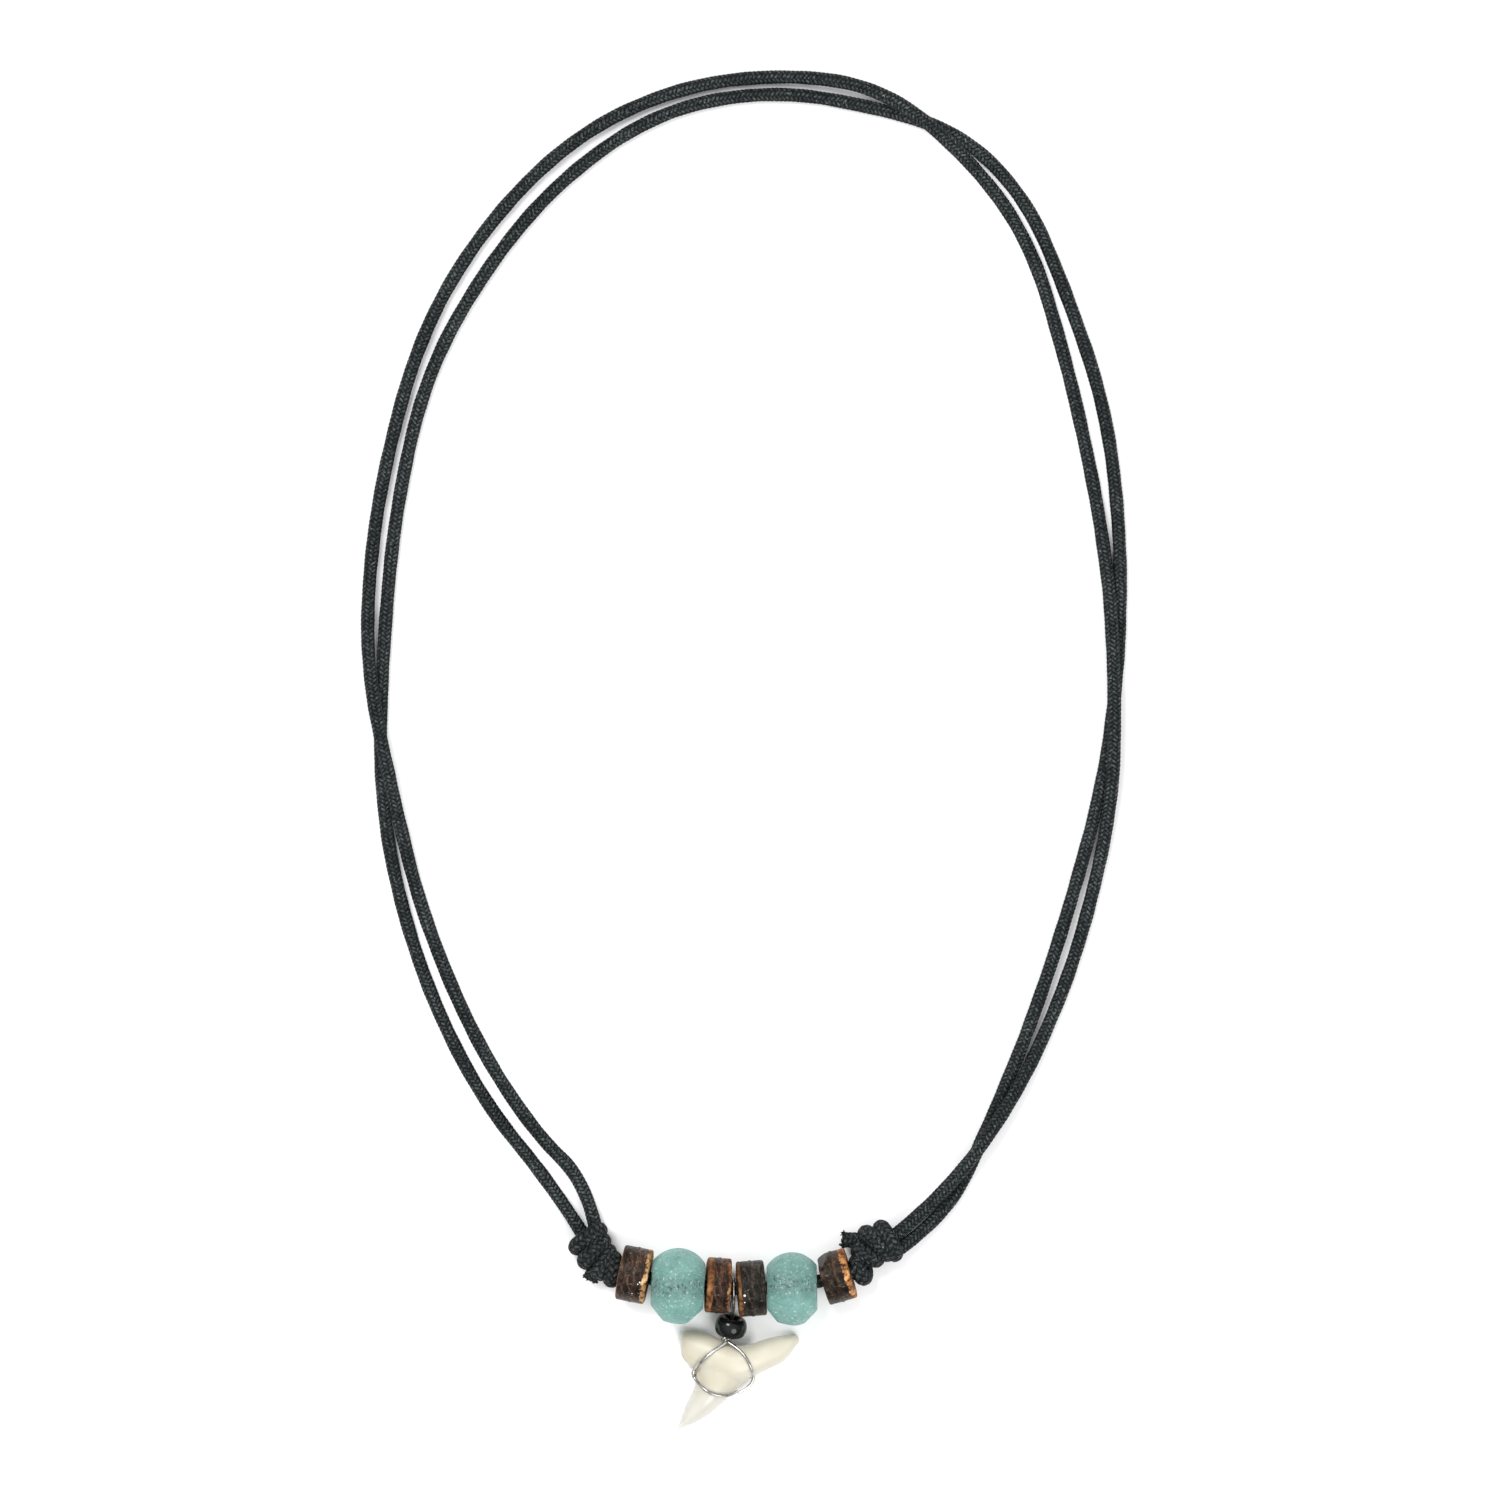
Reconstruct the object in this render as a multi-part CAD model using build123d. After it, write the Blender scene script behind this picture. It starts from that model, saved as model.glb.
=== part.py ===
from build123d import *
import os
from collections import namedtuple
from math import cos, hypot, radians, sin, tan

# Shark tooth necklace lying flat, in millimetres: +Y runs from the pendant to the back of the neck, +Z is up.
# The origin is on the surface that it lies on, under the middle of the beads, knots and pendant.

# Cord: waxed cotton, two strands round the neck and one through the beads
CORD_D = 1.8
CROSSING_GAP = 0.15
KNOT_EXIT_Z = 2.4

# Coconut shell beads: the longest one's length, and their width
COCO_LENGTH = 4.1
COCO_D = 7.7
COCO_BORE = 3.4
COCO_EDGE = 0.35
COCO_RIDGE_WIDTH = 0.5
COCO_RIDGE_HEIGHT = 0.1

# Recycled glass beads, with ground facets: the larger one's length and width
GLASS_LENGTH = 7.4
GLASS_D = 10.7
GLASS_BORE = 3.4
GLASS_FACE_D = 6.5
TOUCH_GAP = 0.05

# Degrees that a bead's hole may lie off the cord's line besides its own lean
LOOSE_TILT = 3.0

# Gap in the bead row that the pendant's wire hangs in
WIRE_GAP = 0.5

# Loop round the neck as it lies: its width between the outermost strands, and its length from the bead row
LOOP_WIDTH = 105.5
LOOP_LENGTH = 170.1

# Line of the bead row: its lowest Y, and how far each end rises above it
ROW_Y = 5.1
ROW_RISE_LEFT = 2.75
ROW_RISE_RIGHT = 2.4

# Pendant: a wire loop over the cord, a black bead and the wired tooth
WIRE_D = 0.42
WIRE_CLEAR = 0.06
TWIST_D = 0.75
BLACK_D = 4.5
BLACK_LENGTH = 2.7
BLACK_BORE = 1.2
BLACK_NEST = 0.11
FOOT_CLEAR = 0.38
BLACK_SHIFT = 0.40
BLACK_TURN = -10.0
BLACK_TILT = 16.0
TOOTH_WIDTH = 16.5
TOOTH_HEIGHT = 14.1
TOOTH_THICK = 3.7
TOOTH_SHIFT = 0.23
TOOTH_DROP = 1.71

# How far the end of a cord reaches into its knot
SEAT = 0.8

# Share of the shorter run that an arc takes at a corner of a cord's or wire's route
ARC_SHARE = 0.45

# Tooth sections: shares of the tooth's width, height and thickness.
# "at" is the station across the root or down the blade, "low" and "high" are the section's two edges there,
# "edge" is the thickness at those edges, "crown" the thickness in the middle, "lift" the height of the back.
Section = namedtuple("Section", "at low high edge crown lift")
ROOT_SECTIONS = [
    Section(-0.460, -0.284, -0.092, 0.16, 0.30, 0.10),
    Section(-0.424, -0.351, -0.043, 0.30, 0.62, 0.06),
    Section(-0.333, -0.422, -0.044, 0.36, 0.80, 0.06),
    Section(-0.182, -0.490, -0.099, 0.40, 0.96, 0.11),
    Section(0.048, -0.539, -0.188, 0.42, 1.00, 0.13),
    Section(0.182, -0.475, -0.156, 0.40, 0.94, 0.11),
    Section(0.352, -0.383, -0.099, 0.34, 0.76, 0.07),
    Section(0.479, -0.248, -0.078, 0.26, 0.52, 0.05),
    Section(0.536, -0.163, -0.106, 0.16, 0.26, 0.08),
]
BLADE_SECTIONS = [
    Section(-0.355, -0.297, 0.212, 0.16, 0.84, 0.13),
    Section(-0.518, -0.333, 0.118, 0.12, 0.78, 0.12),
    Section(-0.567, -0.335, 0.061, 0.11, 0.72, 0.11),
    Section(-0.688, -0.382, -0.045, 0.10, 0.60, 0.08),
    Section(-0.851, -0.441, -0.200, 0.08, 0.42, 0.04),
    Section(-0.936, -0.467, -0.309, 0.06, 0.26, 0.02),
    Section(-0.993, -0.486, -0.418, 0.05, 0.14, 0.01),
    Section(-1.035, -0.500, -0.490, 0.03, 0.05, 0.01),
]

# Wire round the tooth: shares of the tooth's width, height and thickness
WirePoint = namedtuple("WirePoint", "x y z")
NECK = WirePoint(-0.070, -0.152, 0.92)
WIRE_ROUND = [
    WirePoint(-0.219, -0.262, 1.12),
    WirePoint(-0.304, -0.361, 0.93),
    WirePoint(-0.345, -0.430, 0.46),
    WirePoint(-0.372, -0.480, 0.28),
    WirePoint(-0.315, -0.496, 0.065),
    WirePoint(0.100, -0.510, 0.065),
    WirePoint(0.156, -0.495, 0.42),
    WirePoint(0.150, -0.465, 0.96),
    WirePoint(0.129, -0.391, 1.17),
    WirePoint(0.086, -0.291, 1.19),
    WirePoint(0.010, -0.202, 0.98),
]
WIRE_UNDER = [
    WirePoint(-0.362, -0.455, 0.42),
    WirePoint(-0.346, -0.540, 0.40),
    WirePoint(-0.253, -0.639, 0.84),
    WirePoint(-0.134, -0.689, 0.76),
    WirePoint(-0.032, -0.689, 0.48),
    WirePoint(0.045, -0.655, 0.36),
    WirePoint(0.120, -0.590, 0.36),
    WirePoint(0.152, -0.495, 0.42),
]

# Wire loop over the cord, seen along the cord: shares of the loop's own radius, Y towards the neck
LoopPoint = namedtuple("LoopPoint", "y z")
LOOP_OVER = [LoopPoint(-1.25, 0.75), LoopPoint(-0.30, 1.12), LoopPoint(1.10, 1.10)]
LOOP_BACK = [LoopPoint(1.10, -1.10), LoopPoint(-0.60, -1.25)]

# The two kinds of bead: "face" is the width of a bead's flat ends
Kind = namedtuple("Kind", "length diameter face bore")
COCO = Kind(COCO_LENGTH, COCO_D, COCO_D, COCO_BORE)
GLASS = Kind(GLASS_LENGTH, GLASS_D, GLASS_FACE_D, GLASS_BORE)

# Beads from left to right: length and width as shares of their kind's, turn in plan and lean out of it
# in degrees, and how far each lies beside the row's line, in cord diameters
Bead = namedtuple("Bead", "node kind long wide turn lean aside gap_after")
BEADS = [
    Bead("coco_bead_1", COCO, 1.000, 1.000, -11.0, 3.0, 0.0, TOUCH_GAP),
    Bead("glass_bead_1", GLASS, 1.000, 1.000, -3.0, 0.0, 0.0, TOUCH_GAP),
    Bead("coco_bead_2", COCO, 0.820, 1.000, -4.0, -3.0, 0.167, WIRE_GAP),
    Bead("coco_bead_3", COCO, 0.945, 1.000, 4.0, -2.0, 0.0, TOUCH_GAP),
    Bead("glass_bead_2", GLASS, 0.946, 0.963, 1.0, 0.0, 0.0, TOUCH_GAP),
    Bead("coco_bead_4", COCO, 0.990, 0.930, 16.0, 3.0, 0.12, 0.0),
]

# Ground facets of a glass bead: degrees round its axis from the top, slant towards its right end,
# and depth as a share of its radius
Facet = namedtuple("Facet", "around slant depth")
FACETS = {
    "glass_bead_1": [
        Facet(90, -50, 0.075), Facet(95, -8, 0.045), Facet(88, 45, 0.060), Facet(45, 30, 0.030),
        Facet(20, -25, 0.028), Facet(150, -15, 0.035), Facet(205, 25, 0.035), Facet(262, -30, 0.014),
        Facet(300, 20, 0.028),
    ],
    "glass_bead_2": [
        Facet(88, -52, 0.055), Facet(92, -14, 0.034), Facet(90, 46, 0.060), Facet(40, -25, 0.030),
        Facet(15, 30, 0.028), Facet(145, 18, 0.035), Facet(210, -20, 0.035), Facet(268, 34, 0.012),
        Facet(310, -18, 0.028),
    ],
}

# Knots, in cord diameters: thickness of the core and of one wrap, and how far the core passes the last wrap
CORE_SHARE = 1.5
WRAP_SHARE = 1.08
CORE_TAIL = 0.4

# Height of a knot's cut end, as a share of the height of its second wrap's middle
STUB_HEIGHT = 0.8

# Wraps of each knot: place of the wrap's middle from the bead row's end, in cord diameters,
# the direction of its axis in plan, its outer width in cord diameters, and its rise off the surface
Wrap = namedtuple("Wrap", "x y axis width rise")
LEFT_WRAPS = [
    Wrap(-0.58, 0.02, -12, 2.65, 0.72),
    Wrap(-1.32, 0.62, -42, 2.75, 0.40),
    Wrap(-2.14, 1.46, -60, 3.20, 0.08),
    Wrap(-2.60, 2.58, -63, 3.30, 0.00),
]
RIGHT_WRAPS = [
    Wrap(0.69, 0.06, 14, 2.70, 0.72),
    Wrap(1.25, 1.45, 43, 2.75, 0.45),
    Wrap(2.05, 2.45, 34, 3.45, 0.08),
    Wrap(3.10, 2.50, 20, 3.30, 0.00),
]

# Cut end of each knot and the places where the two strands leave it, from the bead row's end, in cord diameters
Place = namedtuple("Place", "x y")
LEFT_STUB = [Place(-1.60, 0.75), Place(-2.42, -0.70)]
RIGHT_STUB = [Place(1.60, 2.48), Place(-0.55, 2.56)]
LEFT_EXITS = [Place(-2.92, 2.75), Place(-1.92, 3.10)]
RIGHT_EXITS = [Place(3.42, 1.57), Place(3.20, 2.66)]

# Routes of the two strands between their knots: X as a share of the loop's width, Y of its length from the row,
# and the height of the middle of the strand
ON_FLOOR = CORD_D / 2
OVER = ON_FLOOR + CORD_D + CROSSING_GAP
Stop = namedtuple("Stop", "x y height")
LOWER_ROUTE = [
    Stop(-0.2398, 0.0844, ON_FLOOR), Stop(-0.3346, 0.1558, ON_FLOOR), Stop(-0.4085, 0.2481, ON_FLOOR),
    Stop(-0.4559, 0.3486, ON_FLOOR), Stop(-0.4711, 0.4374, ON_FLOOR), Stop(-0.4645, 0.5373, ON_FLOOR),
    Stop(-0.4493, 0.6402, ON_FLOOR), Stop(-0.4095, 0.7519, ON_FLOOR), Stop(-0.3280, 0.8419, ON_FLOOR),
    Stop(-0.2294, 0.9142, ON_FLOOR), Stop(-0.0986, 0.9700, ON_FLOOR), Stop(0.0521, 0.9871, ON_FLOOR),
    Stop(0.1991, 0.9712, ON_FLOOR), Stop(0.3062, 0.9494, ON_FLOOR), Stop(0.3886, 0.8959, ON_FLOOR),
    Stop(0.4379, 0.8248, ON_FLOOR), Stop(0.4919, 0.7284, ON_FLOOR), Stop(0.5118, 0.6314, ON_FLOOR),
    Stop(0.5128, 0.5344, ON_FLOOR), Stop(0.4948, 0.4286, ON_FLOOR), Stop(0.4483, 0.3198, ON_FLOOR),
    Stop(0.3953, 0.2199, ON_FLOOR), Stop(0.3374, 0.1335, ON_FLOOR), Stop(0.2815, 0.0594, ON_FLOOR),
]
UPPER_ROUTE = [
    Stop(-0.1962, 0.0885, ON_FLOOR), Stop(-0.2654, 0.1293, ON_FLOOR), Stop(-0.3469, 0.2081, ON_FLOOR),
    Stop(-0.4152, 0.3110, ON_FLOOR), Stop(-0.4493, 0.3992, OVER), Stop(-0.4834, 0.4962, OVER),
    Stop(-0.4872, 0.5697, ON_FLOOR), Stop(-0.4682, 0.6667, ON_FLOOR), Stop(-0.4161, 0.7872, ON_FLOOR),
    Stop(-0.3270, 0.8783, ON_FLOOR), Stop(-0.2085, 0.9506, ON_FLOOR), Stop(-0.0711, 0.9900, ON_FLOOR),
    Stop(0.0711, 1.0000, ON_FLOOR), Stop(0.1953, 0.9882, OVER), Stop(0.3005, 0.9377, OVER),
    Stop(0.3905, 0.8665, ON_FLOOR), Stop(0.4408, 0.7637, ON_FLOOR), Stop(0.4730, 0.6755, ON_FLOOR),
    Stop(0.4900, 0.6138, ON_FLOOR), Stop(0.5014, 0.5520, OVER), Stop(0.5062, 0.4345, OVER),
    Stop(0.4900, 0.3610, ON_FLOOR), Stop(0.4531, 0.2728, ON_FLOOR), Stop(0.4076, 0.2022, ON_FLOOR),
    Stop(0.3611, 0.1476, OVER), Stop(0.2834, 0.0805, OVER),
]


def corner_radii(points):
    """Largest arc at each corner that both of its runs leave room for."""
    radii = []
    for before, corner, after in zip(points, points[1:], points[2:]):
        back = before - corner
        on = after - corner
        half_turn = radians(180 - back.get_angle(on)) / 2
        radii.append(ARC_SHARE * min(back.length, on.length) / tan(half_turn))
    return radii


def route(points):
    """Straight runs through the points, joined by tangent arcs."""
    return FilletPolyline(*points, radius=corner_radii(points))


def tube(points, diameter):
    """Round cord or wire along a route."""
    path = route(points)
    start = Plane(origin=path @ 0, z_dir=path % 0)
    return sweep(start * Circle(diameter / 2), path=path)


def rod(start, end, diameter):
    """Straight round bar between two points."""
    along = end - start
    base = Plane(origin=start, z_dir=along)
    return base * Cylinder(diameter / 2, along.length, align=(Align.CENTER, Align.CENTER, Align.MIN))


def bead_axis(bead):
    """Direction of a bead's hole, from its turn and lean."""
    flat = cos(radians(bead.lean))
    return Vector(flat * cos(radians(bead.turn)), flat * sin(radians(bead.turn)), sin(radians(bead.lean)))


def bead_length(bead):
    return bead.long * bead.kind.length


def bead_diameter(bead):
    return bead.wide * bead.kind.diameter


def touch_length(bead, following):
    """Room between the middles of two facing ends, tilted against each other, that only just touch."""
    contact = min(bead.kind.face, following.kind.face) / 2
    tilt = radians(bead_axis(bead).get_angle(bead_axis(following)))
    return contact * sin(tilt) + bead.gap_after


def bead_stations():
    """Distance along the row from its left end to each bead's middle, and the whole row's length."""
    stations = []
    reached = 0.0
    for index, bead in enumerate(BEADS):
        stations.append(reached + bead_length(bead) / 2)
        reached += bead_length(bead)
        if index < len(BEADS) - 1:
            reached += touch_length(bead, BEADS[index + 1])
    return stations, reached


STATIONS, ROW_LENGTH = bead_stations()


def bore_room(bead):
    """How far the cord can lie off the middle of a bead's hole, once the bead's tilt is allowed for."""
    tilt = radians(max(abs(bead.lean), LOOSE_TILT) + LOOSE_TILT)
    return (bead.kind.bore - CORD_D) / 2 - bead_length(bead) / 2 * tan(tilt)


def rest_height(bead):
    """Height of a bead's middle when its round side lies on the surface."""
    lean = radians(abs(bead.lean))
    end_reach = bead.kind.face / 2 * cos(lean) + bead_length(bead) / 2 * sin(lean)
    return max(bead_diameter(bead) / 2, end_reach)


# The largest bead lies on the surface and lifts the cord, and the other beads hang on it or lie beside it
CORD_Z = max(rest_height(bead) - bore_room(bead) for bead in BEADS)

# The bead row's line in plan: where its corners are, as shares of the row's length and of its rises
RowCorner = namedtuple("RowCorner", "along left_rise right_rise")
ROW_CORNERS = [
    RowCorner(-0.484, 1.0, 0.0),
    RowCorner(-0.285, 0.2, 0.0),
    RowCorner(0.280, 0.0, 0.0),
    RowCorner(0.499, 0.0, 1.0),
]


def row_point(corner):
    rise = corner.left_rise * ROW_RISE_LEFT + corner.right_rise * ROW_RISE_RIGHT
    return Vector(corner.along * ROW_LENGTH, ROW_Y + rise, CORD_Z)


ROW_POINTS = [row_point(corner) for corner in ROW_CORNERS]


def bead_height(bead):
    return max(rest_height(bead), CORD_Z - bore_room(bead))


def on_row(station):
    """Point of the row's line at a distance from its left end."""
    return route(ROW_POINTS).position_at(station, position_mode=PositionMode.LENGTH)


def bead_place(bead, station):
    """Plane through a bead's middle, with its Z along the hole and its X upwards."""
    middle = on_row(station)
    axis = bead_axis(bead)
    upward = Vector(0, 0, 1) - axis * axis.Z
    beside = middle.Y + bead.aside * CORD_D
    return Plane(origin=(middle.X, beside, bead_height(bead)), x_dir=upward, z_dir=axis)


def coco_shape(bead):
    """Short cylinder with a broken edge, a faint ridge round its middle and a hole."""
    radius = bead_diameter(bead) / 2
    half = bead_length(bead) / 2
    ridge = COCO_RIDGE_WIDTH / 2
    crest = radius + COCO_RIDGE_HEIGHT
    bore = bead.kind.bore / 2
    side = [
        (bore, -half), (radius - COCO_EDGE, -half), (radius, COCO_EDGE - half), (radius, -ridge), (crest, 0),
        (radius, ridge), (radius, half - COCO_EDGE), (radius - COCO_EDGE, half), (bore, half),
    ]
    return revolve(Plane.XZ * make_face(Polyline(*side, close=True)), Axis.Z)


def glass_shape(bead):
    """Barrel with a hole and ground facets."""
    radius = bead_diameter(bead) / 2
    half = bead_length(bead) / 2
    face = bead.kind.face / 2
    bore = bead.kind.bore / 2
    side = ThreePointArc((face, -half), (radius, 0), (face, half))
    rest = Polyline((face, half), (bore, half), (bore, -half), (face, -half))
    barrel = revolve(Plane.XZ * make_face([side, rest]), Axis.Z)
    for facet in FACETS[bead.node]:
        slant = radians(facet.slant)
        around = radians(facet.around)
        outward = Vector(cos(slant) * cos(around), cos(slant) * sin(around), sin(slant))
        reach = (radius - side.radius) * cos(slant) + side.radius
        cut_at = reach - facet.depth * radius
        waste = Plane(origin=outward * cut_at, z_dir=outward) * Pos(0, 0, radius) * Box(*[2 * radius] * 3)
        barrel -= waste
    return barrel


def make_bead(bead, station):
    shape = glass_shape(bead) if bead.kind is GLASS else coco_shape(bead)
    return bead_place(bead, station) * shape


# The two ends of the row are where the knots start
LEFT_END = on_row(0)
RIGHT_END = on_row(ROW_LENGTH)


def knot_point(end, place, height):
    """Point of a knot, from its place in cord diameters."""
    return Vector(end.X + place.x * CORD_D, end.Y + place.y * CORD_D, height)


def wrap_centre(end, wrap):
    return knot_point(end, wrap, (wrap.width / 2 + wrap.rise) * CORD_D)


def wrap_disc(wrap, centre):
    """One wrap of cord with the core that it grips: a disc with a round rim."""
    thick = WRAP_SHARE * CORD_D / 2
    flat = wrap.width / 2 * CORD_D - thick
    rim = ThreePointArc((flat, -thick), (flat + thick, 0), (flat, thick))
    section = make_face([Polyline((flat, thick), (0, thick), (0, -thick), (flat, -thick)), rim])
    axis = Vector(cos(radians(wrap.axis)), sin(radians(wrap.axis)), 0)
    return Plane(origin=centre, z_dir=axis, x_dir=(0, 0, 1)) * revolve(Plane.XZ * section, Axis.Z)


def make_knot(end, wraps, stub):
    """Sliding knot: wraps of cord round a core, with a cut end."""
    centres = [wrap_centre(end, wrap) for wrap in wraps]
    discs = [wrap_disc(wrap, centre) for wrap, centre in zip(wraps, centres)]
    tail = (centres[-1] - centres[-2]).normalized() * CORE_TAIL * CORD_D
    core = tube(centres[:-1] + [centres[-1] + tail], CORE_SHARE * CORD_D)
    root, tip = [knot_point(end, place, STUB_HEIGHT * centres[1].Z) for place in stub]
    knot = discs[0]
    for addition in discs[1:] + [core, rod(root, tip, CORD_D)]:
        knot += addition
    return knot


def route_point(stop):
    """Point of a strand, from shares of the loop round the neck."""
    return Vector(stop.x * LOOP_WIDTH, ROW_Y + stop.y * LOOP_LENGTH, stop.height)


def make_strand(stops, exit_left, exit_right):
    start = knot_point(LEFT_END, exit_left, KNOT_EXIT_Z)
    end = knot_point(RIGHT_END, exit_right, KNOT_EXIT_Z)
    line = [start] + [route_point(stop) for stop in stops] + [end]
    print("strand length", round(route(line).length, 1), "tightest bend", round(min(corner_radii(line)), 1))
    return tube(line, CORD_D)


# The pendant hangs in the gap between the third and fourth beads
BEFORE_GAP, AFTER_GAP = BEADS[2:4]
GAP_STATION = STATIONS[2] + (bead_length(BEFORE_GAP) + touch_length(BEFORE_GAP, AFTER_GAP)) / 2
HANG_AT = on_row(GAP_STATION)

# Half the black bead's wall, and how far the tilted bead reaches in plan from its middle
BLACK_WALL = (BLACK_D - BLACK_BORE) / 4
BLACK_REACH = (BLACK_BORE / 2 + BLACK_WALL) * sin(radians(BLACK_TILT)) + hypot(
    BLACK_WALL * sin(radians(BLACK_TILT)),
    BLACK_LENGTH / 2 * cos(radians(BLACK_TILT)),
)
BLACK_MIDDLE = Vector(
    HANG_AT.X - BLACK_SHIFT,
    HANG_AT.Y - COCO_D / 2 - BLACK_REACH + BLACK_NEST,
    BLACK_D / 2,
)
BLACK_AXIS = Vector(
    -sin(radians(BLACK_TURN)) * cos(radians(BLACK_TILT)),
    cos(radians(BLACK_TURN)) * cos(radians(BLACK_TILT)),
    sin(radians(BLACK_TILT)),
)
TOOTH_TOP = Vector(HANG_AT.X + TOOTH_SHIFT, BLACK_MIDDLE.Y - BLACK_REACH + TOOTH_DROP, 0)


def make_black_bead():
    """Ring of oval section, turned in plan and with its upper mouth tilted up."""
    section = Plane.XZ * Pos(BLACK_BORE / 2 + BLACK_WALL, 0) * Ellipse(BLACK_WALL, BLACK_LENGTH / 2)
    ring = revolve(section, Axis.Z)
    return Plane(origin=BLACK_MIDDLE, z_dir=BLACK_AXIS) * ring


def tooth_point(share):
    """Point on or round the tooth, from shares of its width, height and thickness."""
    return TOOTH_TOP + Vector(share.x * TOOTH_WIDTH, share.y * TOOTH_HEIGHT, share.z * TOOTH_THICK)


def tooth_section(section, across_root):
    """Flat back, low edges and a crowned front, at a station of the root or the blade."""
    span = TOOTH_HEIGHT if across_root else TOOTH_WIDTH
    middle = (section.low + section.high) / 2 * span
    half = (section.high - section.low) / 2 * span
    back = section.lift * TOOTH_THICK
    edge = back + section.edge * TOOTH_THICK
    crown = back + section.crown * TOOTH_THICK
    front = ThreePointArc((half, edge), (0, crown), (-half, edge))
    sides = Polyline((-half, edge), (-half, back), (half, back), (half, edge))
    face = make_face([front, sides])
    if across_root:
        origin = TOOTH_TOP + Vector(section.at * TOOTH_WIDTH, middle, 0)
        return Plane(origin=origin, x_dir=(0, 1, 0), z_dir=(1, 0, 0)) * face
    origin = TOOTH_TOP + Vector(middle, section.at * TOOTH_HEIGHT, 0)
    return Plane(origin=origin, x_dir=(1, 0, 0), z_dir=(0, -1, 0)) * face


def make_tooth():
    """Root lofted from side to side, and blade lofted from the root down to the point."""
    root = loft([tooth_section(section, True) for section in ROOT_SECTIONS])
    blade = loft([tooth_section(section, False) for section in BLADE_SECTIONS])
    return root + blade


def loop_point(share):
    """Point of the wire's loop over the cord."""
    radius = (CORD_D + WIRE_D) / 2 + WIRE_CLEAR
    return Vector(HANG_AT.X, HANG_AT.Y + share.y * radius, CORD_Z + share.z * radius)


def make_wire():
    """Loop over the cord, two legs through the black bead, a twist, and turns round the tooth."""
    leg = WIRE_D / 2
    top = BLACK_MIDDLE + BLACK_AXIS * BLACK_LENGTH / 2
    foot = BLACK_MIDDLE - BLACK_AXIS * (BLACK_LENGTH / 2 + leg + FOOT_CLEAR)
    up = BLACK_AXIS.cross(Vector(0, 0, 1)).normalized().cross(BLACK_AXIS) * leg
    neck = tooth_point(NECK)
    over = [loop_point(share) for share in LOOP_OVER]
    back = [loop_point(share) for share in LOOP_BACK]
    wire = tube([foot + up, top + up] + over + back + [top - up, foot - up], WIRE_D)
    twist_top = foot + BLACK_AXIS * TWIST_D / 2
    wire += rod(twist_top, neck, TWIST_D)
    in_twist = neck + (twist_top - neck).normalized() * TWIST_D / 2
    beside = Vector(leg / 2, 0, 0)
    turns = [tooth_point(point) for point in WIRE_ROUND]
    wire += tube([in_twist - beside] + turns + [in_twist + beside], WIRE_D)
    wire += tube([tooth_point(point) for point in WIRE_UNDER], WIRE_D)
    return wire


def bead_cord():
    """The cord through the beads, seated in both knots."""
    first, second, third, last = ROW_POINTS
    into_left = (first - second).normalized() * SEAT
    into_right = (last - third).normalized() * SEAT
    return tube([first + into_left, second, third, last + into_right], CORD_D)


def build():
    nodes = {bead.node: make_bead(bead, station) for bead, station in zip(BEADS, STATIONS)}
    nodes["bead_cord"] = bead_cord()
    nodes["knot_left"] = make_knot(LEFT_END, LEFT_WRAPS, LEFT_STUB)
    nodes["knot_right"] = make_knot(RIGHT_END, RIGHT_WRAPS, RIGHT_STUB)
    nodes["cord_strand_lower"] = make_strand(LOWER_ROUTE, LEFT_EXITS[0], RIGHT_EXITS[0])
    nodes["cord_strand_upper"] = make_strand(UPPER_ROUTE, LEFT_EXITS[1], RIGHT_EXITS[1])
    nodes["black_bead"] = make_black_bead()
    nodes["shark_tooth"] = make_tooth()
    nodes["pendant_wire"] = make_wire()
    return nodes


os.makedirs("parts", exist_ok=True)
for node, shape in build().items():
    export_step(shape, f"parts/{node}.step")
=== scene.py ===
from math import ceil, cos, pi, radians, sin, sqrt

import bpy
import numpy as np
from mathutils import Matrix, Vector


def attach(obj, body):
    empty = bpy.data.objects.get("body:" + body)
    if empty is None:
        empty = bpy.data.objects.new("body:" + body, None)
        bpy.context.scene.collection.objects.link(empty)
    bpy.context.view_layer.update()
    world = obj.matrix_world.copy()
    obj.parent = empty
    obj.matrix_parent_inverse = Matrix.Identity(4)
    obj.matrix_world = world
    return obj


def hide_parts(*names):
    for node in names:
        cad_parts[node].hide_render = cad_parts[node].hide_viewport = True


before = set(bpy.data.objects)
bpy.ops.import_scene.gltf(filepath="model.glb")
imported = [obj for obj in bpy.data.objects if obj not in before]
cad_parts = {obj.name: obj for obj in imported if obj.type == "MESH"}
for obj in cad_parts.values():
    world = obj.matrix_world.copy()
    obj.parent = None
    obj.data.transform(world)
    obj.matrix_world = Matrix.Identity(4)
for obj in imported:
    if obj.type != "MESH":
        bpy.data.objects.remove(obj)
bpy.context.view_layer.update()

# Lengths are in millimetres, and MM turns them into metres
MM = 0.001
RANDOM = np.random.default_rng(11)

CORD_D = 1.8
WIRE_D = 0.43


# Camera: the square of the surface that it sees, its height and its sensor

FRAME_MIDDLE = (2.24, 80.57)
FRAME_SIDE = 210.0
CAMERA_HEIGHT = 2400.0
SENSOR = 36.0

camera = bpy.data.objects.new("camera", bpy.data.cameras.new("camera"))
bpy.context.scene.collection.objects.link(camera)
camera.location = (FRAME_MIDDLE[0] * MM, FRAME_MIDDLE[1] * MM, CAMERA_HEIGHT * MM)
camera.data.sensor_width = SENSOR
camera.data.lens = SENSOR * CAMERA_HEIGHT / FRAME_SIDE
camera.data.clip_start = 0.01
camera.data.clip_end = 20.0
bpy.context.scene.camera = camera


# Mesh helpers

# Points nearer than this are one point, and a start steeper than this sine is upright
SAME_PLACE = 1e-6
NEARLY_UPRIGHT = 0.1


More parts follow.
